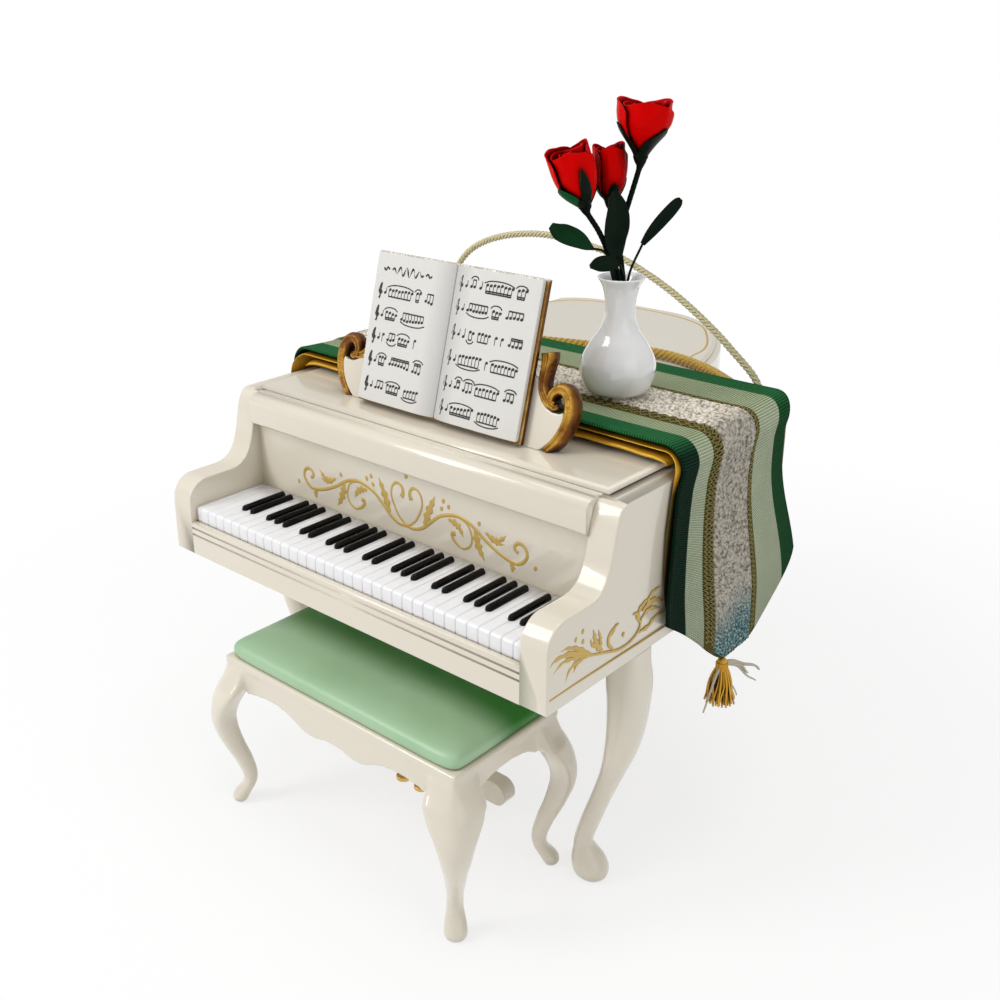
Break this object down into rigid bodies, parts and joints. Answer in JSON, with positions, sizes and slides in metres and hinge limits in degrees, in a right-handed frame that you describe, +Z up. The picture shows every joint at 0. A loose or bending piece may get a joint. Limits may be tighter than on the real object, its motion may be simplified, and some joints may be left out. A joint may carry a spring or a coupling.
{
  "type": "miniature grand piano with bench",
  "caption": "Miniature cabriole-leg grand piano in pearl ivory with gold scrollwork, upholstered bench, open music book, ribbon runner, hanging cord and a vase of red roses",
  "frame": {"origin": "On the floor, under the middle of the whole set: half-way across the case, and half-way between the toes of the bench's front legs and the end of the piano's tail.", "axes": "+X points to the treble side, +Y from the keys towards the tail, +Z up."},
  "size_m": [0.0922, 0.1186, 0.1242],
  "materials": {
    "case_ivory": "pearl gloss",
    "key_white": "gloss",
    "key_black": "gloss",
    "antique_gold": "satin gold paint",
    "pedal_brass": "polished",
    "page_paper": "matt",
    "cover_gold": "satin",
    "lining_gold": "satin weave",
    "runner_ribbon": "ribbed weave with lace",
    "gold_cord": "twisted thread",
    "vase_glaze": "gloss",
    "rose_red": "satin",
    "stem_green": "satin",
    "seat_green": "satin"
  },
  "bodies": {
    "piano": {"case_body": "case_ivory", "side_left": "case_ivory", "side_right": "case_ivory", "keybed": "case_ivory", "key_slip": "case_ivory", "white_keys": "key_white", "black_keys": "key_black", "fallboard": "case_ivory", "nosing": "case_ivory", "lid": "case_ivory", "leg_front_left": "case_ivory", "leg_front_right": "case_ivory", "leg_tail": "case_ivory", "pedal_lyre": "case_ivory", "pedals": "pedal_brass", "music_desk": "case_ivory", "desk_scroll_left": "antique_gold", "desk_scroll_right": "antique_gold", "runner_lining": "lining_gold", "runner": "runner_ribbon", "tassel_left": "gold_cord", "tassel_right": "gold_cord", "braid": "gold_cord", "hanging_cord": "gold_cord"},
    "bench": {"bench_frame": "case_ivory", "bench_leg_front_left": "case_ivory", "bench_leg_front_right": "case_ivory", "bench_leg_rear_left": "case_ivory", "bench_leg_rear_right": "case_ivory", "bench_seat": "seat_green"},
    "book": {"book_cover": "cover_gold", "book_page_left": "page_paper", "book_page_right": "page_paper"},
    "vase": {"vase": "vase_glaze"},
    "bouquet": {"rose_stems": "stem_green", "rose_sepals": "stem_green", "rose_leaves": "stem_green", "rose_left": "rose_red", "rose_middle": "rose_red", "rose_right": "rose_red"}
  },
  "joints": [
    {"name": "bench_pull", "type": "slide", "parent": "piano", "child": "bench", "axis": [0, -1, 0], "range_m": [0, 0.03]},
    {"name": "book_lift", "type": "slide", "parent": "piano", "child": "book", "axis": [0, 0.2555, 0.9668], "range_m": [0, 0.01]},
    {"name": "vase_lift", "type": "slide", "parent": "piano", "child": "vase", "axis": [0, 0, 1], "range_m": [0, 0.02]},
    {"name": "bouquet_lift", "type": "slide", "parent": "vase", "child": "bouquet", "axis": [0, 0, 1], "range_m": [0, 0.03]}
  ]
}
